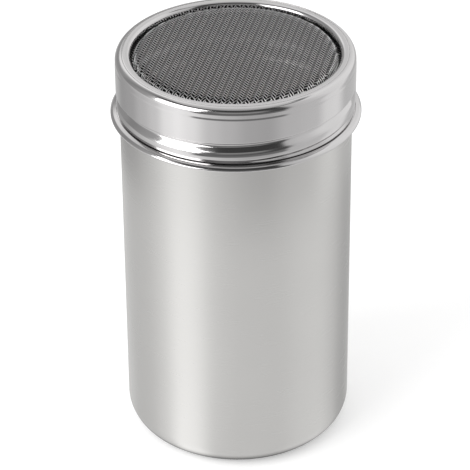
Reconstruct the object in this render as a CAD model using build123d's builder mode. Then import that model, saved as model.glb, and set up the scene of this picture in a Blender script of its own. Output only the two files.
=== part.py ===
from build123d import *
import math
import os

# Mesh-top spice shaker: a drawn steel cup, a screw lid made from one pressed sheet,
# and a woven wire screen held under the rim of the lid by a ring.
# Millimetres. The base stands on Z = 0, the axis of the shaker is Z, the front is -Y.

# --- Driving dimensions: whole shaker -----------------------------------------------
overall_height = 129.2
body_diameter = 70.0

# --- Driving dimensions: cup --------------------------------------------------------
cup_wall = 0.6
base_corner_radius = 8.0
foot_width = 2.5
dish_slope_width = 4.0
dish_rise = 1.2
dish_rounding = 1.5
bead_overhang = 2.9
bead_thickness = 1.8
bead_root_radius = 0.5
neck_step = 1.4
neck_root_radius = 0.3

# --- Driving dimensions: lid --------------------------------------------------------
lid_overhang = 1.0
lid_wall = 0.5
lid_gap = 0.2
rim_width = 4.6
rim_outer_radius = 2.3
rim_inner_radius = 0.6
mouth_depth = 2.1
lip_height = 1.1
lip_draft = 0.15

# --- Driving dimensions: thread, a right-hand rolled thread -------------------------
thread_pitch = 5.5
groove_turns = 1.08
groove_start_rise = 1.16
groove_start_angle = -40.0
groove_depth = 1.5
groove_half_width = 2.0
groove_to_ring_gap = 2.467
thread_turns = 1.05
thread_height = 1.4
thread_half_width = 1.4
thread_flank_gap = 0.3
thread_tip_radius = 0.45

# --- Driving dimensions: screen and its ring ----------------------------------------
wire_diameter = 0.28
warp_pitch = 0.88
weft_pitch = 0.77
weave_angle = 35.7
weave_skew = 1.6
screen_side_gap = 1.5
layer_gap = 0.02
clamp_gap = 0.06
ring_flange = 0.4
ring_wall = 0.5
ring_depth = 3.4
ring_mouth_ledge = 0.4
ring_side_gap = 0.08
seat_gap = 0.15
edge_break = 0.12

# --- Worked out: radii, from the body outwards and inwards ----------------------------
body_radius = body_diameter / 2
cup_inner_radius = body_radius - cup_wall
foot_inner_radius = body_radius - base_corner_radius - foot_width
dish_radius = foot_inner_radius - dish_slope_width
neck_radius = body_radius - neck_step
neck_inner_radius = neck_radius - cup_wall
bead_radius = body_radius + bead_overhang
bead_tip_radius = 0.47 * bead_thickness

lid_radius = body_radius + lid_overhang
lid_inner_radius = lid_radius - lid_wall
mouth_radius = lid_radius - rim_width

ring_outer_radius = lid_inner_radius - ring_side_gap
ring_mouth_radius = mouth_radius - ring_mouth_ledge
screen_radius = lid_inner_radius - screen_side_gap
warp_count = 2 * math.floor((screen_radius - warp_pitch) / warp_pitch) + 1
weft_count = 2 * math.floor((screen_radius - weft_pitch) / weft_pitch) + 1

# --- Worked out: heights, from the rim of the lid downwards ---------------------------
lid_ceiling_height = overall_height - lid_wall
mouth_bottom_height = overall_height - mouth_depth
warp_height = mouth_bottom_height - clamp_gap - wire_diameter / 2
weft_height = warp_height - wire_diameter - layer_gap
ring_top_height = weft_height - wire_diameter / 2 - clamp_gap
ring_bottom_height = ring_top_height - ring_depth
neck_top_height = ring_top_height - ring_flange - seat_gap

groove_slope = groove_half_width / groove_depth
# The ridge inside the lid starts in the middle of the wall, at this radius outside the
# bottom of the groove. It ends below the ring and runs out through the lid's edge.
ridge_base = groove_depth - lid_wall / 2
ridge_half_width = (ridge_base + lid_wall) * groove_slope
groove_end_height = ring_bottom_height - groove_to_ring_gap - ridge_half_width
groove_start_height = groove_end_height - thread_pitch * groove_turns
lid_bottom_height = groove_start_height - groove_start_rise
bead_top_height = lid_bottom_height - lid_gap
bead_bottom_height = bead_top_height - bead_thickness

thread_slope = thread_half_width / thread_height
# The ridge inside the lid hooks under the cup's thread by this much. The thread runs
# just so far above the ridge that their flanks clear each other by the gap.
thread_hook = (neck_radius + thread_height) - (lid_inner_radius - groove_depth)
flank_rise = thread_hook * max(groove_slope, thread_slope)
thread_start_height = groove_start_height + flank_rise + thread_flank_gap


def turned_plane(height, angle):
    """A level plane whose X axis is turned by an angle about the shaker's axis."""
    turn = math.radians(angle)
    return Plane(
        origin=(0, 0, height),
        x_dir=(math.cos(turn), math.sin(turn), 0),
        z_dir=(0, 0, 1),
    )


def across(path):
    """The plane across the start of a helix, with its X axis pointing outwards."""
    start = path @ 0
    return Plane(origin=start, x_dir=(start.X, start.Y, 0), z_dir=path % 0)


def along_wires(height, angle):
    """The plane across a layer of wires at one edge of the screen."""
    turn = math.radians(angle)
    outwards = Vector(math.cos(turn), math.sin(turn), 0)
    return Plane(
        origin=Vector(0, 0, height) - outwards * screen_radius,
        x_dir=(-math.sin(turn), math.cos(turn), 0),
        z_dir=outwards,
    )


# --- Cup: base, wall, stop bead and threaded neck, drawn from one sheet --------------
with BuildPart() as cup_body:
    with BuildSketch(Plane.XZ):
        with BuildLine():
            FilletPolyline(
                (0, dish_rise),
                (dish_radius, dish_rise),
                (foot_inner_radius, 0),
                (body_radius, 0),
                (body_radius, bead_bottom_height),
                (bead_radius, bead_bottom_height),
                (bead_radius, bead_top_height),
                (neck_radius, bead_top_height),
                (neck_radius, neck_top_height),
                radius=[
                    dish_rounding,
                    dish_rounding,
                    base_corner_radius,
                    bead_root_radius,
                    bead_tip_radius,
                    bead_tip_radius,
                    neck_root_radius,
                ],
            )
            Polyline((neck_radius, neck_top_height), (0, neck_top_height), (0, dish_rise))
        make_face()
    revolve(axis=Axis.Z)

    with BuildLine(turned_plane(thread_start_height, groove_start_angle)) as neck_helix:
        Helix(pitch=thread_pitch, height=thread_pitch * thread_turns, radius=neck_radius)
    with BuildSketch(across(neck_helix.line)):
        with BuildLine():
            FilletPolyline(
                (-cup_wall / 2, -thread_half_width),
                (0, -thread_half_width),
                (thread_height, 0),
                (0, thread_half_width),
                (-cup_wall / 2, thread_half_width),
                radius=[edge_break, thread_tip_radius, edge_break],
            )
            Line((-cup_wall / 2, thread_half_width), (-cup_wall / 2, -thread_half_width))
        make_face()
    sweep(path=neck_helix.line, is_frenet=True)

    with BuildSketch(Plane.XZ):
        with BuildLine():
            FilletPolyline(
                (0, dish_rise + cup_wall),
                (dish_radius, dish_rise + cup_wall),
                (foot_inner_radius, cup_wall),
                (cup_inner_radius, cup_wall),
                (cup_inner_radius, bead_bottom_height),
                (neck_inner_radius, bead_top_height),
                (neck_inner_radius, neck_top_height),
                radius=[
                    dish_rounding,
                    dish_rounding,
                    base_corner_radius - cup_wall,
                    bead_root_radius,
                    bead_root_radius,
                ],
            )
            Polyline(
                (neck_inner_radius, neck_top_height),
                (0, neck_top_height),
                (0, dish_rise + cup_wall),
            )
        make_face()
    revolve(axis=Axis.Z, mode=Mode.SUBTRACT)
    fillet(cup_body.edges().group_by(Axis.Z)[-1], radius=0.45 * cup_wall)
cup_body.part.label = "cup_body"


# --- Lid: one pressed sheet with a turned-down mouth and a rolled thread --------------
with BuildPart() as lid_shell:
    lip_top_height = lid_bottom_height + lip_height
    with BuildSketch(Plane.XZ):
        with BuildLine():
            FilletPolyline(
                (mouth_radius, mouth_bottom_height),
                (mouth_radius, overall_height),
                (lid_radius, overall_height),
                (lid_radius, lip_top_height),
                (lid_radius - lip_draft, lid_bottom_height),
                radius=[rim_inner_radius, rim_outer_radius, lip_height],
            )
            FilletPolyline(
                (mouth_radius + lid_wall, mouth_bottom_height),
                (mouth_radius + lid_wall, lid_ceiling_height),
                (lid_inner_radius, lid_ceiling_height),
                (lid_inner_radius, lip_top_height),
                (lid_inner_radius - lip_draft, lid_bottom_height),
                radius=[rim_inner_radius - lid_wall, rim_outer_radius - lid_wall, lip_height],
            )
            Line(
                (mouth_radius, mouth_bottom_height),
                (mouth_radius + lid_wall, mouth_bottom_height),
            )
            Line(
                (lid_radius - lip_draft, lid_bottom_height),
                (lid_inner_radius - lip_draft, lid_bottom_height),
            )
        make_face()
    revolve(axis=Axis.Z)

    groove_bottom_radius = lid_radius - groove_depth
    with BuildLine(turned_plane(groove_start_height, groove_start_angle)) as lid_helix:
        Helix(
            pitch=thread_pitch,
            height=thread_pitch * groove_turns,
            radius=groove_bottom_radius,
        )
    # The groove outside is the same fold as the ridge inside, one wall further out.
    with BuildSketch(across(lid_helix.line)):
        with BuildLine():
            FilletPolyline(
                (ridge_base, ridge_half_width),
                (-lid_wall, 0),
                (ridge_base, -ridge_half_width),
                radius=thread_tip_radius,
            )
            Line((ridge_base, -ridge_half_width), (ridge_base, ridge_half_width))
        make_face()
    sweep(path=lid_helix.line, is_frenet=True)
    with BuildSketch(Plane.XY.offset(lid_bottom_height)):
        Circle(bead_radius)
    extrude(amount=-thread_pitch, mode=Mode.SUBTRACT)
    mouth_of_groove = groove_depth + lid_wall / 2
    mouth_half_width = mouth_of_groove * groove_slope
    with BuildSketch(across(lid_helix.line)):
        with BuildLine():
            FilletPolyline(
                (mouth_of_groove, mouth_half_width),
                (0, 0),
                (mouth_of_groove, -mouth_half_width),
                radius=thread_tip_radius,
            )
            Line((mouth_of_groove, -mouth_half_width), (mouth_of_groove, mouth_half_width))
        make_face()
    sweep(path=lid_helix.line, is_frenet=True, mode=Mode.SUBTRACT)
lid_shell.part.label = "lid_shell"


# --- Screen: two layers of round wires, cut to one disc -------------------------------
with BuildPart() as screen_warp_wires:
    with BuildSketch(along_wires(warp_height, weave_angle + 90)):
        with GridLocations(warp_pitch, warp_pitch, warp_count, 1):
            Circle(wire_diameter / 2)
    extrude(amount=2 * screen_radius)
    with BuildSketch(Plane.XY.offset(warp_height - wire_diameter)):
        Circle(screen_radius)
    extrude(amount=2 * wire_diameter, mode=Mode.INTERSECT)
screen_warp_wires.part.label = "screen_warp_wires"

with BuildPart() as screen_weft_wires:
    with BuildSketch(along_wires(weft_height, weave_angle + weave_skew)):
        with GridLocations(weft_pitch, weft_pitch, weft_count, 1):
            Circle(wire_diameter / 2)
    extrude(amount=2 * screen_radius)
    with BuildSketch(Plane.XY.offset(weft_height - wire_diameter)):
        Circle(screen_radius)
    extrude(amount=2 * wire_diameter, mode=Mode.INTERSECT)
screen_weft_wires.part.label = "screen_weft_wires"


# --- Ring that holds the screen up under the mouth ------------------------------------
with BuildPart() as screen_ring:
    with BuildSketch(Plane.XZ):
        with BuildLine():
            FilletPolyline(
                (ring_mouth_radius, ring_top_height),
                (ring_outer_radius, ring_top_height),
                (ring_outer_radius, ring_bottom_height),
                radius=ring_wall,
            )
            Polyline(
                (ring_outer_radius, ring_bottom_height),
                (ring_outer_radius - ring_wall, ring_bottom_height),
                (ring_outer_radius - ring_wall, ring_top_height - ring_flange),
                (ring_mouth_radius, ring_top_height - ring_flange),
                (ring_mouth_radius, ring_top_height),
            )
        make_face()
    revolve(axis=Axis.Z)
screen_ring.part.label = "screen_ring"


os.makedirs("parts", exist_ok=True)
export_step(cup_body.part, "parts/cup_body.step")
export_step(lid_shell.part, "parts/lid_shell.step")
export_step(screen_warp_wires.part, "parts/screen_warp_wires.step")
export_step(screen_weft_wires.part, "parts/screen_weft_wires.step")
export_step(screen_ring.part, "parts/screen_ring.step")
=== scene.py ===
# %% [markdown]
# # A mesh-top spice shaker
# The shaker is a drawn steel cup, a screw lid pressed from one sheet, and a woven wire
# screen that a hidden ring holds up under the rim. The solid model gives every size and
# every motion. This lesson adds what a solid model leaves out: smooth pressed curves, the
# rolled thread as it fades in and out, the real weave of the screen, and the finish of
# each kind of steel.

# %% Open the solid model
import math

import bpy
import numpy as np
from mathutils import Matrix


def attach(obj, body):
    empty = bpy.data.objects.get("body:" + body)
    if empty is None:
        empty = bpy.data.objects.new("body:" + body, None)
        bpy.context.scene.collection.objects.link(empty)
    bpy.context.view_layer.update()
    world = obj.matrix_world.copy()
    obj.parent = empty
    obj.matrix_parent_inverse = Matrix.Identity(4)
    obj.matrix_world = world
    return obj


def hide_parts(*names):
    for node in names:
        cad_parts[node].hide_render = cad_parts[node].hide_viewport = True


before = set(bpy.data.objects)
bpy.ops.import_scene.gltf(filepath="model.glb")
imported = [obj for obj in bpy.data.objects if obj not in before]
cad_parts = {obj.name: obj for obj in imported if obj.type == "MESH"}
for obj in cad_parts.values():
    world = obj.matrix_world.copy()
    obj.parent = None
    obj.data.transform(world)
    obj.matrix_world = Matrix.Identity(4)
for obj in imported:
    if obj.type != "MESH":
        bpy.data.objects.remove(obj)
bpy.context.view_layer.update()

# %% [markdown]
# ## The camera
# The view is from well above the lid, about 32 degrees down, with a long lens, so the
# wall of the cup narrows only a little towards the base. A camera is turned in three
# steps: it tilts up from looking straight down, it turns about the upright axis, and it
# rolls about its own line of sight. Writing the three turns as matrices keeps them apart.

# %% Place the camera
camera_data = bpy.data.cameras.new("camera")
camera_data.sensor_width = 36
camera_data.lens = 200
CAMERA_AT = (0, -0.685, 0.4957)
CAMERA_TILT, CAMERA_TURN, CAMERA_ROLL = (math.radians(a) for a in (57.81, 0.05, -0.47))
camera = bpy.data.objects.new("camera", camera_data)
bpy.context.scene.collection.objects.link(camera)
camera.matrix_world = (
    Matrix.Translation(CAMERA_AT)
    @ Matrix.Rotation(CAMERA_TURN, 4, "Z")
    @ Matrix.Rotation(CAMERA_TILT, 4, "X")
    @ Matrix.Rotation(CAMERA_ROLL, 4, "Z")
)
bpy.context.scene.camera = camera
print("camera at", [round(v, 3) for v in camera.matrix_world.translation])

# %% [markdown]
# ## Lines with rounded corners
# Every pressed or drawn piece here is turned about one axis, so it starts as a line in
# radius and height. Blender could round such a line with a bevel, but the arcs would then
# share one size. This helper takes a rounding for each corner, as a toolmaker's drawing
# does. Each arc is divided into equal steps, small enough that it looks smooth.

# %% Helper for rounded lines
MM = 0.001


def rounded_line(corners, arc_step):
    """Points of a line through corners of (radius, height, rounding), in millimetres."""
    points = [np.array(corners[0][:2], float)]
    for before, (x, y, rounding), after in zip(corners, corners[1:], corners[2:]):
        corner = np.array((x, y), float)
        back = np.array(before[:2]) - corner
        ahead = np.array(after[:2]) - corner
        back, ahead = back / np.linalg.norm(back), ahead / np.linalg.norm(ahead)
        half = math.acos(np.clip(back @ ahead, -1, 1)) / 2
        if rounding == 0:
            points.append(corner)
            continue
        middle = (back + ahead) / np.linalg.norm(back + ahead)
        centre = corner + middle * rounding / math.sin(half)
        start = corner + back * rounding / math.tan(half) - centre
        end = corner + ahead * rounding / math.tan(half) - centre
        turn = math.pi - 2 * half
        steps = max(2, math.ceil(math.degrees(turn) / arc_step))
        for share in np.linspace(0, 1, steps + 1):
            along = np.sin((1 - share) * turn) * start + np.sin(share * turn) * end
            points.append(centre + along / math.sin(turn))
    points.append(np.array(corners[-1][:2], float))
    return np.array(points)


square = rounded_line([(0, 0, 0), (5, 0, 2), (5, 5, 0)], arc_step=7.0)
print("a rounded square corner:", len(square), "points")

# %% [markdown]
# ## Turning a line into sheet metal
# A Screw modifier would turn a line too, but a screw thread changes the radius with both
# the height and the angle. So the helper builds the grid of points itself, and takes a
# function that says how far each point is pressed inwards. A line that starts and ends on
# the axis makes a cup, and one that closes on itself makes a ring.

# %% Helper for turned pieces
def make_object(name, points, faces, body):
    """A smooth mesh object from points in millimetres, that rides on a body."""
    mesh = bpy.data.meshes.new(name)
    mesh.from_pydata((np.asarray(points) * MM).tolist(), [], faces)
    mesh.polygons.foreach_set("use_smooth", np.ones(len(mesh.polygons), bool))
    piece = bpy.data.objects.new(name, mesh)
    bpy.context.scene.collection.objects.link(piece)
    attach(piece, body)
    print(f"{name}: {len(mesh.vertices)} points, {len(mesh.polygons)} faces, on {body}")
    return piece


def turned(name, line, segments, body, pressed=None):
    """Turns a line about the axis. The metal lies on the left of the line.

    With the radius to the right and the height up, such a line goes round the metal
    anticlockwise, and every face then looks out of the metal.
    """
    radius, height = line[:, :1], line[:, 1:]
    turn = np.linspace(0, 2 * math.pi, segments, endpoint=False)[None, :]
    if pressed is not None:
        radius = radius - pressed(height, turn)
    radius = np.broadcast_to(radius, (len(line), segments))
    grid = np.stack(
        [radius * np.cos(turn), radius * np.sin(turn), np.broadcast_to(height, radius.shape)],
        axis=-1,
    ).reshape(-1, 3)
    capped = line[0, 0] < 1e-6
    rows = len(line) - 1 if capped else len(line)
    faces = []
    for row in range(rows):
        low, high = row * segments, (row + 1) % len(line) * segments
        for k in range(segments):
            after = (k + 1) % segments
            faces.append([low + k, low + after, high + after, high + k])
    if capped:
        grid, faces = closed_at_axis(grid, faces, segments)
    return make_object(name, grid, faces, body)


def closed_at_axis(grid, faces, segments):
    """Joins the first and the last row, which lie on the axis, to one point each."""
    last = len(grid) - segments
    joined = []
    for face in faces:
        face = [0 if v < segments else last if v >= last else v for v in face]
        joined.append([v for k, v in enumerate(face) if v != face[k - 1]])
    used = sorted({v for face in joined for v in face})
    place = {v: k for k, v in enumerate(used)}
    return grid[used], [[place[v] for v in face] for face in joined]


# %% [markdown]
# ## The cup
# The cup is drawn from one sheet 0.6 mm thick: a base that is dished up in the middle so
# that it stands on a ring, a large rounded corner, a straight wall, and a stop bead where
# the lid comes to rest. Above the bead the wall steps in to the neck, with a thread rolled
# out of it. The sheet is folded, so the inside of the neck follows its outside. The neck
# only shows when the lid is unscrewed or through the screen, but it is there. The line
# goes up the outside and down the inside, and its runs are divided where the thread goes.

# %% Draw the cup
BODY_RADIUS, NECK_RADIUS, CUP_WALL = 35.0, 33.6, 0.6
BEAD_RADIUS, BEAD_TOP, BEAD_BOTTOM = 37.75, 110.9, 109.3
NECK_TOP = 125.85

cup_outside = rounded_line(
    [
        (0, 1.2, 0),
        (20.5, 1.2, 1.5),
        (24.5, 0, 1.5),
        (BODY_RADIUS, 0, 8.0),
        (BODY_RADIUS, BEAD_BOTTOM, 0.9),
        (BEAD_RADIUS, BEAD_BOTTOM, 0.45),
        (BEAD_RADIUS, BEAD_TOP - 0.95, 0.5),
        (BEAD_RADIUS - 0.65, BEAD_TOP - 0.3, 0.6),
        (35.95, BEAD_TOP + 0.1, 0.1),
        (35.85, BEAD_TOP - 0.3, 0.1),
        (NECK_RADIUS, BEAD_TOP - 0.3, 0.2),
        (NECK_RADIUS, NECK_TOP, 0.27),
        (NECK_RADIUS - 0.3, NECK_TOP, 0),
    ],
    arc_step=5.0,
)
cup_inside = rounded_line(
    [
        (NECK_RADIUS - 0.3, NECK_TOP, 0),
        (NECK_RADIUS - CUP_WALL, NECK_TOP, 0.27),
        (NECK_RADIUS - CUP_WALL, BEAD_TOP + 0.3, 0.6),
        (BEAD_RADIUS - CUP_WALL, BEAD_TOP - 0.4, 0.4),
        (BEAD_RADIUS - CUP_WALL, BEAD_BOTTOM + 0.3, 0.4),
        (BODY_RADIUS - CUP_WALL, BEAD_BOTTOM - 0.5, 2.0),
        (BODY_RADIUS - CUP_WALL, CUP_WALL, 7.4),
        (24.5, CUP_WALL, 1.5),
        (20.5, 1.8, 1.5),
        (0, 1.8, 0),
    ],
    arc_step=10.0,
)
print("the cup's line has", len(cup_outside), "points outside and", len(cup_inside), "inside")

# %% Divide the line where the thread goes
def divided_between(line, low, high, step):
    """Divides the runs of a line that lie between two heights."""
    points = [line[0]]
    for a, b in zip(line, line[1:]):
        inside = min(a[1], b[1]) >= low - 1e-6 and max(a[1], b[1]) <= high + 1e-6
        parts = max(1, math.ceil(np.linalg.norm(b - a) / step)) if inside else 1
        points += [a + (b - a) * k / parts for k in range(1, parts + 1)]
    return np.array(points)


CUP_STEP = 0.25
cup_outside = divided_between(cup_outside, BEAD_TOP - 0.5, NECK_TOP, CUP_STEP)
cup_inside = divided_between(cup_inside, BEAD_TOP, NECK_TOP, CUP_STEP)
cup_line = np.vstack([cup_outside, cup_inside[1:]])
print("divided, the cup's line has", len(cup_line), "points")

# %% [markdown]
# ## The thread
# A rolled thread is a helix: its height grows by one pitch in one turn. For any point on
# the wall, the groove passes its angle once for each turn, so the depth is a sum over the
# turns. The shape across the groove isn't even. From above there is a crease, a short
# steep flank down to the deepest line, and then a long swell back out. At both ends the
# roller was eased off, so the depth fades.

# %% Where the thread runs
PITCH = 5.5
CREASE_AT_FRONT, RIDGE_AT_FRONT = 117.6, 118.63
LID_BOTTOM = 111.1
# Where the roller starts and ends, in degrees from the front, and the turn that it takes
# to come in and to go out. The hem at the mouth of the lid stays round up to its height.
GROOVE_START, GROOVE_END, GROOVE_IN, GROOVE_OUT = -388.0, 90.0, 60.0, 25.0
RIDGE_START, RIDGE_END, RIDGE_FADE = -310.0, 68.0, 12.0
HEM_HEIGHT = 3.2
print("the groove makes", round((GROOVE_END - GROOVE_START) / 360, 2), "turns")

# %% Helpers for smooth curves
def eased(value):
    """0 below 0, 1 above 1, and a smooth step between."""
    value = np.clip(value, 0, 1)
    return value * value * (3 - 2 * value)


def smooth_curve(knots):
    """A smooth function through knots of (place, value, slope), flat outside them."""
    place, value, slope = (np.array(column) for column in zip(*knots))

    def at(x):
        x = np.clip(x, place[0], place[-1])
        k = np.clip(np.searchsorted(place, x) - 1, 0, len(place) - 2)
        width = place[k + 1] - place[k]
        t = (x - place[k]) / width
        return (
            (1 + 2 * t) * (1 - t) ** 2 * value[k]
            + t * (1 - t) ** 2 * width * slope[k]
            + t * t * (3 - 2 * t) * value[k + 1]
            + t * t * (t - 1) * width * slope[k + 1]
        )

    return at


print("a quarter of the way up an eased step:", float(eased(0.25)))

# %% Shape across the groove and the ridge
# Heights are counted from the crease, and the lower side of the groove comes first.
groove_depth = smooth_curve(
    [
        (-4.5, 0.0, 0.0),
        (-3.85, 0.06, 0.17),
        (-3.1, 0.26, 0.38),
        (-2.7, 0.46, 0.82),
        (-1.8, 1.23, 0.88),
        (-1.5, 1.46, 0.6),
        (-1.2, 1.56, 0.12),
        (-0.85, 1.58, 0.0),
        (-0.6, 1.46, -1.2),
        (-0.2, 0.84, -1.9),
        (0.1, 0.33, -1.4),
        (0.32, 0.09, -0.75),
        (0.62, 0.0, 0.0),
    ]
)
thread_rise = smooth_curve(
    [(-1.4, 0.0, 0.0), (-0.5, 0.9, 1.1), (0.0, 1.3, 0.0), (0.5, 0.9, -1.1), (1.4, 0.0, 0.0)]
)
print("the groove is", float(groove_depth(-0.85)), "mm deep")
print("the ridge is", float(thread_rise(0.0)), "mm high")

# %% Wind both round the wall
def along_helix(turn):
    """The angle along the groove for each of its turns, in degrees from the front."""
    from_front = (np.degrees(turn) + 90 + 180) % 360 - 180
    return [from_front + 360 * k for k in (-1, 0)]


def lid_pressed(height, turn):
    """How far the skirt of the lid is pressed inwards by its thread."""
    depth = 0
    for angle in along_helix(turn):
        crease = CREASE_AT_FRONT + PITCH * angle / 360
        fade = eased((angle - GROOVE_START) / GROOVE_IN)
        fade = fade * eased((GROOVE_END - angle) / GROOVE_OUT)
        depth = depth + fade * groove_depth(height - crease)
    return depth * eased((height - LID_BOTTOM) / HEM_HEIGHT)


def neck_pressed(height, turn):
    """The same for the neck, where the thread stands out and so counts as negative."""
    rise = 0
    for angle in along_helix(turn):
        ridge = RIDGE_AT_FRONT + PITCH * angle / 360
        fade = eased((angle - RIDGE_START) / RIDGE_FADE)
        fade = fade * eased((RIDGE_END - angle) / RIDGE_FADE)
        rise = rise - fade * thread_rise(height - ridge)
    return rise


FRONT = np.array(-math.pi / 2)
deepest = float(lid_pressed(CREASE_AT_FRONT - 0.85, FRONT))
print("in front the lid is pressed in by", round(deepest, 2), "mm")

# %% Turn the cup
CUP_SEGMENTS, LID_SEGMENTS = 288, 384
cup = turned("cup", cup_line, CUP_SEGMENTS, "cup", neck_pressed)
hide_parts("cup_body")

# %% [markdown]
# ## The lid
# The lid is one sheet 0.5 mm thick. The press turns its mouth down into a short wall,
# leaves a flat rim with a fine crease where the outer bend begins, bends the sheet over a
# radius of 2.1 mm, and rolls the thread into the skirt. The inside of the skirt follows
# the outside, because the metal is folded and not cut. The two faces are one closed line.

# %% Draw the lid
LID_RADIUS, LID_WALL = 36.0, 0.5
RIM_TOP, MOUTH_RADIUS, MOUTH_BOTTOM = 129.2, 31.4, 127.1
CREASE_RADIUS = 33.75

lid_outside = rounded_line(
    [
        (MOUTH_RADIUS + 0.25, MOUTH_BOTTOM, 0),
        (MOUTH_RADIUS, MOUTH_BOTTOM, 0.2),
        (MOUTH_RADIUS, RIM_TOP, 1.3),
        (CREASE_RADIUS - 0.22, RIM_TOP, 0.15),
        (CREASE_RADIUS, RIM_TOP - 0.07, 0.06),
        (CREASE_RADIUS + 0.2, RIM_TOP - 0.02, 0.1),
        (LID_RADIUS - 0.06, RIM_TOP - 0.02, 2.1),
        (LID_RADIUS - 0.06, 126.1, 0.4),
        (LID_RADIUS, 125.5, 0.4),
        (LID_RADIUS, LID_BOTTOM + 1.3, 1.0),
        (LID_RADIUS - 0.3, LID_BOTTOM, 0.15),
        (LID_RADIUS - 0.3 - LID_WALL / 2, LID_BOTTOM, 0),
    ],
    arc_step=5.0,
)
lid_inside = rounded_line(
    [
        (LID_RADIUS - 0.3 - LID_WALL / 2, LID_BOTTOM, 0),
        (LID_RADIUS - 0.3 - LID_WALL, LID_BOTTOM, 0.15),
        (LID_RADIUS - LID_WALL, LID_BOTTOM + 1.3, 1.0),
        (LID_RADIUS - LID_WALL, RIM_TOP - LID_WALL, 1.8),
        (MOUTH_RADIUS + LID_WALL, RIM_TOP - LID_WALL, 0.6),
        (MOUTH_RADIUS + LID_WALL, MOUTH_BOTTOM, 0.2),
        (MOUTH_RADIUS + 0.25, MOUTH_BOTTOM, 0),
    ],
    arc_step=12.0,
)
SKIRT_TOP, OUTSIDE_STEP, INSIDE_STEP = 127.3, 0.11, 0.2
lid_line = np.vstack(
    [
        divided_between(lid_outside, LID_BOTTOM, SKIRT_TOP, OUTSIDE_STEP),
        divided_between(lid_inside, LID_BOTTOM, SKIRT_TOP - 0.3, INSIDE_STEP)[1:-1],
    ]
)
print("the lid's line has", len(lid_line), "points")

# %% Turn the lid
# Its line goes up the mouth and down the skirt, with the metal on the right, so it is
# taken the other way round.
lid = turned("lid", lid_line[::-1], LID_SEGMENTS, "lid", lid_pressed)
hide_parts("lid_shell")

# %% [markdown]
# ## The screen
# The screen is woven two over and two under, which gives the slanting ribs of a twill.
# An array of straight wires would show no ribs, and an image of a weave would be flat, so
# each wire is a small tube of its own that rises and dips at every crossing. The press has
# raised the disc into a low dome with a turned-down edge, and all wires follow it. Each
# point of a wire also keeps a value of painted light for the finish to read: a painted
# highlight on its top, brighter where it bends down, and painted shade in dips and crevice.

# %% Shape of the dome
WIRE_RADIUS, WIRE_SIDES = 0.14, 6
SCREEN_RADIUS = 34.0
CLAMPED_HEIGHT = 126.75
DOME_HEIGHT, DOME_RISE, DOME_EDGE, DOME_ROUNDING = 128.55, 0.15, 27.1, 5.0
DROP_START, DROP_END = 29.55, 30.25


def dome(radius):
    """Height of the middle of the screen at a distance from the axis."""
    inwards = np.clip(radius - DOME_EDGE, 0, DROP_START - DOME_EDGE)
    top = DOME_HEIGHT + DOME_RISE * np.cos(np.clip(radius / DOME_EDGE, 0, 1) * math.pi / 2)
    top = top - DOME_ROUNDING + np.sqrt(DOME_ROUNDING**2 - inwards**2)
    drop = np.clip((radius - DROP_START) / (DROP_END - DROP_START), 0, 1)
    return CLAMPED_HEIGHT + (top - CLAMPED_HEIGHT) * np.sqrt(1 - drop**2)


print("the dome rises", round(float(dome(np.array(0.0))) - CLAMPED_HEIGHT, 2), "mm")

# %% Weave one direction
# Painted light on the wires: a painted highlight where they bend down, painted shade in the
# crevice.
BEND_HIGHLIGHT, BEND_START, BEND_WIDTH = 0.3, DROP_START - 0.2, 0.4
CREVICE_START, CREVICE_WIDTH = DROP_END + 0.35, 0.35


def woven(name, own, other, over_first):
    """Wires of one direction. own and other are (angle of the normal, pitch)."""
    normal = np.array([math.cos(own[0]), math.sin(own[0])])
    along = np.array([-normal[1], normal[0]])
    cross = np.array([math.cos(other[0]), math.sin(other[0])])
    reach = int(SCREEN_RADIUS / own[1] - 1)
    points, faces, painted_light = [], [], []
    # The points go round the wire the way that makes its faces look outwards.
    way_round = -np.sign(along @ cross)
    ring = way_round * np.linspace(0, 2 * math.pi, WIRE_SIDES, endpoint=False)
    for wire in range(-reach, reach + 1):
        offset = wire * own[1]
        half = math.sqrt(SCREEN_RADIUS**2 - offset**2)
        # Half steps between the crossings, counted on the other wires.
        ends = sorted((offset * normal + s * half * along) @ cross / other[1] for s in (-1, 1))
        steps = np.arange(math.ceil(ends[0] * 2), math.floor(ends[1] * 2) + 1) / 2
        run = (steps * other[1] - offset * (normal @ cross)) / (along @ cross)
        centre = offset * normal + run[:, None] * along
        phase = (steps + wire + (0 if over_first else 2)) % 4
        rise = np.clip(1.5 - np.abs(phase - 0.5 - 4 * (phase > 2.5)), -0.5, 0.5) * 2
        away = np.linalg.norm(centre, axis=1)
        height = dome(away) + rise * WIRE_RADIUS
        # The painted highlight is brightest where the wires bend down, and in the
        # crevice painted shade makes them dark.
        highlight_at_bend = BEND_HIGHLIGHT * eased((away - BEND_START) / BEND_WIDTH)
        lit_outside_crevice = 1 - eased((away - CREVICE_START) / CREVICE_WIDTH)
        first = len(points)
        for (x, y), z, lifted, more, share in zip(centre, height, rise, highlight_at_bend, lit_outside_crevice):
            for a in ring:
                side, up = WIRE_RADIUS * math.cos(a), WIRE_RADIUS * math.sin(a)
                points.append((x + normal[0] * side, y + normal[1] * side, z + up))
                painted_light.append(((lifted + math.sin(a)) / 4 + 0.5 + more) * share)
        for step in range(len(steps) - 1):
            low = first + step * WIRE_SIDES
            high = low + WIRE_SIDES
            for k in range(WIRE_SIDES):
                after = (k + 1) % WIRE_SIDES
                faces.append((low + k, low + after, high + after, high + k))
        faces.append(tuple(reversed(range(first, first + WIRE_SIDES))))
        faces.append(tuple(range(len(points) - WIRE_SIDES, len(points))))
    piece = make_object(name, points, faces, "lid")
    # Each point keeps its value of painted light for the finish to read.
    piece.data.attributes.new("painted_light", "FLOAT", "POINT").data.foreach_set("value", painted_light)
    return piece


# %% Weave both directions
WARP = (math.radians(35.7), 0.88)
WEFT = (math.radians(-52.7), 0.77)
warp = woven("warp_wires", WARP, WEFT, True)
weft = woven("weft_wires", WEFT, WARP, False)
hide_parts("screen_warp_wires")
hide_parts("screen_weft_wires")

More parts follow.
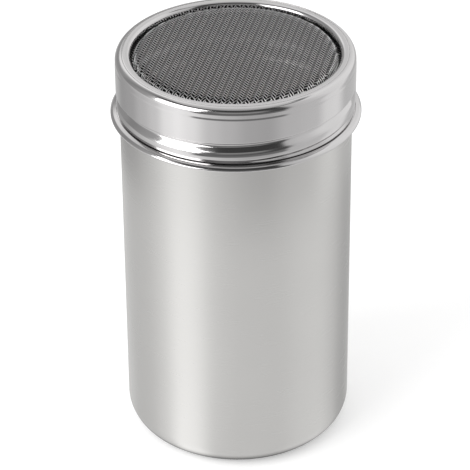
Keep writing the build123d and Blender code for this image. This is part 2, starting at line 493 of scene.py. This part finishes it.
# %% [markdown]
# ## Nodes that several finishes share
# Steel looks as it does because of very small things: lines from the brush or the polish
# that run round the piece, and slow changes of gloss. Each is built once, as a group with
# named inputs, and every finish places it with its own values. The first helper adds a
# node and feeds its inputs, from a plain value or from another node.

# %% Helpers for nodes
def put(tree, kind, feeds=(), **settings):
    """Adds a node with settings. feeds maps its inputs to values or to outputs."""
    node = tree.nodes.new(kind)
    for name, value in settings.items():
        setattr(node, name, value)
    for socket, value in dict(feeds).items():
        if isinstance(value, bpy.types.NodeSocket):
            tree.links.new(value, node.inputs[socket])
        else:
            node.inputs[socket].default_value = value
    return node


def math_of(tree, operation, *values):
    """The output of one Math node."""
    return put(tree, "ShaderNodeMath", enumerate(values), operation=operation).outputs[0]


def smooth_share(tree, value, start, end):
    """The output of a smooth step: 0 where the value is at start, and 1 at end."""
    reach = {"Value": value, "From Min": start, "From Max": end}
    return put(tree, "ShaderNodeMapRange", reach, interpolation_type="SMOOTHSTEP").outputs[0]


def blend_of(tree, share, first, second):
    """The output of a Mix node for plain numbers."""
    feeds = {0: share, 2: first, 3: second}
    return put(tree, "ShaderNodeMix", feeds, data_type="FLOAT").outputs[0]


def colour_blend_of(tree, share, first, second):
    """The output of a Mix node for colours."""
    feeds = {0: share, 6: first, 7: second}
    return put(tree, "ShaderNodeMix", feeds, data_type="RGBA").outputs[2]


def new_group(name, inputs, outputs):
    """An empty group with named sockets. Returns its tree, inputs and output node."""
    tree = bpy.data.node_groups.new(name, "ShaderNodeTree")
    for label, kind, value in inputs:
        socket = tree.interface.new_socket(label, in_out="INPUT", socket_type=kind)
        if value is not None:
            socket.default_value = value
    for label, kind in outputs:
        tree.interface.new_socket(label, in_out="OUTPUT", socket_type=kind)
    return tree, tree.nodes.new("NodeGroupInput").outputs, tree.nodes.new("NodeGroupOutput")


def place_group(tree, group, **feeds):
    """Places a group. An input named 'Line width' is written line_width here."""
    named = {name.replace("_", " ").capitalize(): value for name, value in feeds.items()}
    node = tree.nodes.new("ShaderNodeGroup")
    node.node_tree = group
    for name, value in named.items():
        if isinstance(value, bpy.types.NodeSocket):
            tree.links.new(value, node.inputs[name])
        else:
            node.inputs[name].default_value = value
    return node.outputs


# %% Group: lines round the axis
ring_lines, given, result = new_group(
    "lines_round_the_axis",
    [
        ("Lines per metre", "NodeSocketFloat", 4000.0),
        ("Lines per turn", "NodeSocketFloat", 3.0),
        ("Detail", "NodeSocketFloat", 3.0),
    ],
    [("Lines", "NodeSocketFloat"), ("Patches", "NodeSocketFloat")],
)
where = put(ring_lines, "ShaderNodeTexCoord").outputs["Object"]
split = put(ring_lines, "ShaderNodeSeparateXYZ", {0: where}).outputs
angle = math_of(ring_lines, "ARCTAN2", split["Y"], split["X"])
flat = put(ring_lines, "ShaderNodeCombineXYZ", {"X": split["X"], "Y": split["Y"]})
radius = put(ring_lines, "ShaderNodeVectorMath", {0: flat.outputs[0]}, operation="LENGTH")
across = math_of(ring_lines, "SUBTRACT", radius.outputs["Value"], split["Z"])
turns = math_of(ring_lines, "MULTIPLY", angle, given["Lines per turn"])
lines = put(
    ring_lines,
    "ShaderNodeCombineXYZ",
    {"X": turns, "Y": math_of(ring_lines, "MULTIPLY", across, given["Lines per metre"])},
)
streaks = put(
    ring_lines,
    "ShaderNodeTexNoise",
    {"Vector": lines.outputs[0], "Scale": 1.0, "Detail": given["Detail"], "Roughness": 0.6},
)
cloud = put(ring_lines, "ShaderNodeTexNoise", {"Vector": where, "Scale": 45.0, "Detail": 3.0})
ring_lines.links.new(streaks.outputs["Fac"], result.inputs["Lines"])
ring_lines.links.new(cloud.outputs["Fac"], result.inputs["Patches"])
print("group:", ring_lines.name)

# %% [markdown]
# ## Painted light on the wires
# The tops of the wires get a painted highlight and the dips get painted shade. Pointiness
# could find the tops, but on tubes this thin it would need a far finer mesh. The mesh
# already knows how high each point sits, so the group reads that value and blends three
# colours with it: dip, top and bend.

# %% Group: painted light on a wire
wire_shade_and_highlight, given, result = new_group(
    "wire_shade_and_highlight",
    [
        ("Dip", "NodeSocketColor", (0.02, 0.02, 0.02, 1)),
        ("Top", "NodeSocketColor", (0.6, 0.6, 0.6, 1)),
        ("Bend", "NodeSocketColor", (0.9, 0.9, 0.9, 1)),
        ("Start", "NodeSocketFloat", 0.78),
        ("End", "NodeSocketFloat", 0.96),
    ],
    [("Color", "NodeSocketColor")],
)
BRIGHTEST_PAINTED_LIGHT = 1.2
# Painted light: painted shade in the dips and crevice, painted highlight on tops and bends.
painted_light = put(wire_shade_and_highlight, "ShaderNodeAttribute", attribute_name="painted_light").outputs["Fac"]
colour = given["Dip"]
for start, end, above in (
    (given["Start"], given["End"], given["Top"]),
    (given["End"], BRIGHTEST_PAINTED_LIGHT, given["Bend"]),
):
    share = smooth_share(wire_shade_and_highlight, painted_light, start, end)
    colour = colour_blend_of(wire_shade_and_highlight, share, colour, above)
wire_shade_and_highlight.links.new(colour, result.inputs["Color"])
print("group:", wire_shade_and_highlight.name)

# %% [markdown]
# ## The finishes
# Bare stainless steel reflects a little over half of the light, slightly warm. What tells
# one piece from another is its gloss. The wall of the cup is brushed round and round, so
# reflections smear up and down: the shader does this with an anisotropic highlight about
# a tangent that runs round the axis. The lid and the bead are polished, with only faint
# lines. The tops of the wires of the two directions get different lightness, and the tone
# of a wire carries painted highlight and painted shade. The ring is plain rolled sheet. The
# inside of the cup is rough, and its nearly black colour is painted shade for its depth.

# %% Helper: a steel finish
def steel(name, colour, roughness, spread, lines, line_depth, anisotropy=0.0, wire=False):
    """A steel finish. spread is how far the lines change the roughness.

    line_depth is in metres. The tone of a wire comes from its value of painted light:
    painted shade in the dips, a painted highlight on the tops and bends.
    """
    material = bpy.data.materials.new(name)
    material.use_nodes = True
    tree = material.node_tree
    tree.nodes.clear()
    grain = place_group(tree, ring_lines, lines_per_metre=lines, lines_per_turn=2.0, detail=3.0)
    rough = put(
        tree,
        "ShaderNodeMapRange",
        {"Value": grain["Lines"], "To Min": roughness - spread, "To Max": roughness + spread},
    )
    if wire:
        tone = place_group(tree, wire_shade_and_highlight, top=(*colour, 1))["Color"]
    else:
        darker, lighter = ((*(factor * c for c in colour), 1) for factor in (0.97, 1.03))
        tone = colour_blend_of(tree, grain["Patches"], darker, lighter)
    bump = put(
        tree,
        "ShaderNodeBump",
        {"Strength": 1.0, "Distance": line_depth, "Height": grain["Lines"]},
    )
    shader = put(
        tree,
        "ShaderNodeBsdfPrincipled",
        {
            "Base Color": tone,
            "Metallic": 1.0,
            "Roughness": rough.outputs[0],
            "Normal": bump.outputs[0],
            "Anisotropic": anisotropy,
        },
    )
    if anisotropy:
        tangent = put(tree, "ShaderNodeTangent", direction_type="RADIAL", axis="Z")
        tree.links.new(tangent.outputs[0], shader.inputs["Tangent"])
    end = put(tree, "ShaderNodeOutputMaterial", {"Surface": shader.outputs[0]})
    print("finish:", name, "into", end.name)
    return material


# %% Make the finishes
satin_steel = steel("satin_steel", (0.6, 0.593, 0.58), 0.26, 0.04, 3500.0, 1.5e-6, 0.75)
polished_steel = steel("polished_steel", (0.6, 0.59, 0.59), 0.1, 0.02, 4500.0, 4e-7, 0.5)
# The two wire tones are the colours of the painted highlight on the tops; the warp is lighter.
warp_steel = steel("warp_steel", (0.78, 0.78, 0.78), 0.33, 0.03, 9000.0, 0.0, wire=True)
weft_steel = steel("weft_steel", (0.46, 0.46, 0.46), 0.33, 0.03, 9000.0, 0.0, wire=True)
ring_steel = steel("ring_steel", (0.55, 0.545, 0.54), 0.3, 0.05, 2500.0, 1e-6, 0.4)
# The nearly black colour inside is painted shade, and the roughness is the dull drawn finish.
dull_and_shaded_inside = steel("dull_and_shaded_inside", (0.03, 0.03, 0.029), 0.5, 0.05, 1500.0, 1e-6)

# %% Dress the pieces
for piece, finishes in (
    (cup, [satin_steel, dull_and_shaded_inside, polished_steel]),
    (lid, [polished_steel]),
    (warp, [warp_steel]),
    (weft, [weft_steel]),
    (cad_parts["screen_ring"], [ring_steel]),
):
    piece.data.materials.clear()
    for finish in finishes:
        piece.data.materials.append(finish)
    print(piece.name, "has", [finish.name for finish in finishes])

# %% Give each part of the cup its finish
# The wall is brushed. The rolling tool polished the bead and the inside of the neck, and
# below them the inside is rough, with a nearly black colour that is painted shade.
SATIN, SHADED_DULL, POLISHED = 0, 1, 2
BEAD_FOOT_RADIUS, POLISHED_DOWN_TO = 35.3, 107.5
outside_faces = len(cup_outside) * CUP_SEGMENTS
for face in cup.data.polygons:
    if face.index < outside_faces:
        on_bead = face.center.xy.length > BEAD_FOOT_RADIUS * MM
        face.material_index = POLISHED if on_bead else SATIN
    else:
        # Below the polish the inside is dull, and its nearly black colour is painted shade.
        in_dull_shade = face.center.z < POLISHED_DOWN_TO * MM
        face.material_index = SHADED_DULL if in_dull_shade else POLISHED
print("dull faces:", sum(face.material_index == SHADED_DULL for face in cup.data.polygons))

# %% [markdown]
# ## The studio
# Polished metal shows little but its surroundings, so the room matters as much as the
# steel. A soft box stands at the front left. The side of the camera is dark, the left
# wall is grey, and the right wall and ceiling are pale. Walls built as planes would need
# many objects. Instead the world itself is painted by direction: a ring of brightness for
# the walls, and cards with soft edges, each given by where it stands and how bright it is.

# %% Group: one card in a direction
card, given, result = new_group(
    "studio_card",
    [
        ("Direction", "NodeSocketVector", None),
        ("Azimuth", "NodeSocketFloat", 0.0),
        ("Half width", "NodeSocketFloat", 20.0),
        ("Elevation", "NodeSocketFloat", 0.0),
        ("Half height", "NodeSocketFloat", 20.0),
        ("Edge", "NodeSocketFloat", 3.0),
    ],
    [("Mask", "NodeSocketFloat")],
)
unit = put(card, "ShaderNodeVectorMath", {0: given["Direction"]}, operation="NORMALIZE")
split = put(card, "ShaderNodeSeparateXYZ", {0: unit.outputs[0]}).outputs
from_front = math_of(card, "ARCTAN2", split["X"], math_of(card, "MULTIPLY", split["Y"], -1.0))
turn = math_of(card, "SUBTRACT", math_of(card, "DEGREES", from_front), given["Azimuth"])
turn = math_of(card, "ABSOLUTE", math_of(card, "WRAP", turn, 180.0, -180.0))
lift = math_of(card, "DEGREES", math_of(card, "ARCSINE", split["Z"]))
lift = math_of(card, "ABSOLUTE", math_of(card, "SUBTRACT", lift, given["Elevation"]))
masks = []
for distance, half in ((turn, "Half width"), (lift, "Half height")):
    outside = math_of(card, "ADD", given[half], given["Edge"])
    inside = math_of(card, "SUBTRACT", given[half], given["Edge"])
    masks.append(smooth_share(card, distance, outside, inside))
card.links.new(math_of(card, "MULTIPLY", *masks), result.inputs["Mask"])
print("group:", card.name)

# %% Helper: brightness by azimuth
def by_azimuth(tree, direction, stops, scale, spread=1.0):
    """A smooth ring of brightness. stops are (azimuth, brightness), from -180 to 180.

    The ramp holds the brightness divided by scale. spread turns the places further round.
    """
    split = put(tree, "ShaderNodeSeparateXYZ", {0: direction}).outputs
    backwards = math_of(tree, "MULTIPLY", split["Y"], -1.0)
    turn = math_of(tree, "MULTIPLY", math_of(tree, "ARCTAN2", split["X"], backwards), spread)
    place = math_of(tree, "ADD", math_of(tree, "DIVIDE", turn, 2 * math.pi), 0.5)
    ramp = put(tree, "ShaderNodeValToRGB", {0: place})
    ramp.color_ramp.interpolation = "EASE"
    marks = ramp.color_ramp.elements
    for azimuth, _ in stops[1:-1]:
        marks.new(azimuth / 360 + 0.5)
    for mark, (_, brightness) in zip(marks, stops):
        grey = brightness / scale
        mark.color = (grey, grey, grey, 1)
    return math_of(tree, "MULTIPLY", ramp.outputs[0], scale)


# %% Brightness of the walls and the cards
# Azimuth 0 is behind the camera, and negative is to its left. Each card is (azimuth,
# half width, elevation, half height, edge, brightness).
WALLS = [
    (-180, 0.9),
    (-160, 1.25),
    (-138, 0.5),
    (-118, 0.34),
    (-92, 0.45),
    (-75, 0.85),
    (-60, 1.05),
    (-45, 0.55),
    (-32, 0.24),
    (-18, 0.15),
    (44, 0.09),
    (54, 0.7),
    (70, 0.78),
    (95, 1.02),
    (135, 1.1),
    (180, 0.84),
]
CARDS = [
    (4.0, 24.0, 20.0, 11.0, 8.0, 0.36),
    (-33.0, 78.0, 55.0, 7.0, 4.0, 0.1),
    (92.0, 50.0, 60.0, 3.0, 3.0, 0.15),
    (12.0, 38.0, 50.0, 11.0, 4.0, 0.06),
    (-150.0, 26.0, 8.0, 15.0, 5.0, 0.4),
]
print("the walls have", len(WALLS), "stops, and there are", len(CARDS), "cards")

# %% Group: the room
room, given, result = new_group(
    "room",
    [("Direction", "NodeSocketVector", None)],
    [("Brightness", "NodeSocketFloat")],
)
unit = put(room, "ShaderNodeVectorMath", {0: given["Direction"]}, operation="NORMALIZE")
unit = unit.outputs[0]
split = put(room, "ShaderNodeSeparateXYZ", {0: unit}).outputs
WALLS_SCALE, PAPER_SCALE = 1.2, 1.5
walls = by_azimuth(room, unit, WALLS, WALLS_SCALE)
ceiling = put(
    room,
    "ShaderNodeMapRange",
    {"Value": split["Y"], "From Min": -0.6, "From Max": 0.5, "To Min": 0.3, "To Max": 1.0},
).outputs[0]
bright = blend_of(room, smooth_share(room, split["Z"], 0.82, 0.9), walls, ceiling)
for azimuth, half_width, elevation, half_height, edge, value in CARDS:
    mask = place_group(
        room,
        card,
        direction=unit,
        azimuth=azimuth,
        half_width=half_width,
        elevation=elevation,
        half_height=half_height,
        edge=edge,
    )["Mask"]
    bright = blend_of(room, mask, bright, value)
room.links.new(bright, result.inputs["Brightness"])
print("group:", room.name)

# %% [markdown]
# ## What the world shows to whom
# Only mirror-like rays see the painted room. The camera sees plain white, and rough
# surfaces get an even light, so the room can be dark where the steel needs it without
# darkening the floor.

# %% The world
world = bpy.data.worlds.new("studio")
world.use_nodes = True
bpy.context.scene.world = world
tree = world.node_tree
tree.nodes.clear()
rays = put(tree, "ShaderNodeLightPath").outputs
seen = place_group(tree, room, direction=put(tree, "ShaderNodeTexCoord").outputs["Generated"])
mirrored = math_of(tree, "MAXIMUM", rays["Is Glossy Ray"], rays["Is Transmission Ray"])
plain = blend_of(tree, rays["Is Camera Ray"], 0.8, 1.0)
level = blend_of(tree, mirrored, plain, seen["Brightness"])
light = put(tree, "ShaderNodeBackground", {"Color": (1, 1, 1, 1), "Strength": level})
put(tree, "ShaderNodeOutputWorld", {"Surface": light.outputs[0]})
print("world:", world.name)

# %% [markdown]
# ## The soft box
# The bright window on the wall of the cup and the spots on the rim are mirror images of
# one lamp with a cloth front. An area light gives that image its shape, and it also casts
# the soft shadow. A point light would give neither.

# %% The soft box
BOX_WIDTH, BOX_HEIGHT, BOX_WATTS = 0.63, 0.6, 4.0
BOX_TURN, BOX_TILT, BOX_DISTANCE = math.radians(-54.5), math.radians(90 - 25), 0.8
BOX_AIM = (0, 0, 0.1)
soft_box_data = bpy.data.lights.new("soft_box", "AREA")
soft_box_data.shape = "RECTANGLE"
soft_box_data.size = BOX_WIDTH
soft_box_data.size_y = BOX_HEIGHT
soft_box_data.energy = BOX_WATTS
soft_box = bpy.data.objects.new("soft_box", soft_box_data)
bpy.context.scene.collection.objects.link(soft_box)
soft_box.matrix_world = (
    Matrix.Translation(BOX_AIM)
    @ Matrix.Rotation(BOX_TURN, 4, "Z")
    @ Matrix.Rotation(BOX_TILT, 4, "X")
    @ Matrix.Translation((0, 0, BOX_DISTANCE))
)
soft_box.visible_camera = False
print("soft box at", [round(v, 2) for v in soft_box.matrix_world.translation])

# %% [markdown]
# ## The floor
# The shaker stands on white paper. Seen from above, the lower part of the cup mirrors the
# paper close by and the lid mirrors the paper further out, so the paper gets two rings of
# brightness. Both count azimuth as the steel shows it: a place on the paper is seen further
# round, the nearer it is. Right under the base the paper is dark, because hardly any light
# gets there, and that gives the steel its dark line at the foot. The camera sees only plain
# white paper with the shadow on it.

# %% Brightness of the paper
PAPER_NEAR = [
    (-180, 0.85),
    (-154, 0.85),
    (-140, 0.73),
    (-106, 0.78),
    (-84, 0.97),
    (-62, 1.45),
    (-48, 1.38),
    (-22, 0.91),
    (0, 0.85),
    (40, 0.83),
    (72, 0.93),
    (98, 0.97),
    (118, 0.82),
    (138, 0.55),
    (156, 0.52),
    (180, 0.7),
]
PAPER_FAR = [
    (-180, 0.65),
    (-158, 0.56),
    (-142, 0.45),
    (-120, 0.52),
    (-102, 0.7),
    (-84, 0.88),
    (-70, 1.22),
    (-57, 1.34),
    (-44, 1.21),
    (-24, 0.83),
    (-8, 0.71),
    (14, 0.58),
    (30, 0.55),
    (50, 0.69),
    (82, 0.75),
    (98, 1.0),
    (112, 1.03),
    (132, 0.68),
    (150, 0.66),
    (180, 0.65),
]
RING_CHANGE = (0.15, 0.187)
BASE_EDGE = (0.03, 0.036)
print("the rings have", len(PAPER_NEAR), "and", len(PAPER_FAR), "stops")

# %% Lay the floor
FLOOR_SIZE, FLOOR_HEIGHT = 3.0, -0.00005
corners = [(-1, -1), (1, -1), (1, 1), (-1, 1)]
corners = [(x * FLOOR_SIZE, y * FLOOR_SIZE, FLOOR_HEIGHT) for x, y in corners]
mesh = bpy.data.meshes.new("floor")
mesh.from_pydata(corners, [], [(0, 1, 2, 3)])
floor = bpy.data.objects.new("floor", mesh)
bpy.context.scene.collection.objects.link(floor)
print("the floor is", 2 * FLOOR_SIZE, "m wide")

# %% The finish of the paper
PAPER_COLOUR, PAPER_GLOW = (0.9, 0.9, 0.9, 1), 0.31
paper = bpy.data.materials.new("floor_paper")
paper.use_nodes = True
tree = paper.node_tree
tree.nodes.clear()
rays = put(tree, "ShaderNodeLightPath").outputs
place = put(tree, "ShaderNodeNewGeometry").outputs["Position"]
towards = put(tree, "ShaderNodeVectorMath", {0: place, 1: (0, 0, 0.12)}, operation="SUBTRACT")
far = put(tree, "ShaderNodeVectorMath", {0: place}, operation="LENGTH").outputs["Value"]
nearer = math_of(tree, "MINIMUM", math_of(tree, "DIVIDE", BODY_RADIUS * MM / 2, far), 0.5)
spread = math_of(tree, "DIVIDE", 1.0, math_of(tree, "SUBTRACT", 1.0, nearer))
rings = [by_azimuth(tree, place, ring, PAPER_SCALE, spread) for ring in (PAPER_NEAR, PAPER_FAR)]
shade = blend_of(tree, smooth_share(tree, far, *RING_CHANGE), *rings)
# Painted shade: past about a third of a metre in front, the paper is darkened to stand
# in for a dark room beyond the edge of the paper.
beyond = place_group(
    tree,
    card,
    direction=towards.outputs[0],
    azimuth=3.0,
    half_width=42.0,
    elevation=-4.0,
    half_height=15.0,
    edge=4.0,
)["Mask"]
shade = blend_of(tree, beyond, shade, 0.2)
near = blend_of(tree, smooth_share(tree, far, *BASE_EDGE), 0.1, 1.0)
strength = math_of(tree, "MULTIPLY", shade, near)
mirrored = put(tree, "ShaderNodeEmission", {"Color": (1, 1, 1, 1), "Strength": strength})
lit = put(tree, "ShaderNodeBsdfDiffuse", {"Color": PAPER_COLOUR})
glow = put(tree, "ShaderNodeEmission", {"Color": (1, 1, 1, 1), "Strength": PAPER_GLOW})
white = put(tree, "ShaderNodeAddShader", {0: lit.outputs[0], 1: glow.outputs[0]})
both = put(
    tree,
    "ShaderNodeMixShader",
    {0: rays["Is Camera Ray"], 1: mirrored.outputs[0], 2: white.outputs[0]},
)
put(tree, "ShaderNodeOutputMaterial", {"Surface": both.outputs[0]})
floor.data.materials.append(paper)
print("finish:", paper.name)

# %% [markdown]
# ## The view transform
# The view transform is set so that a colour renders as it is written.

# %% Finish
bpy.context.scene.view_settings.view_transform = "Standard"
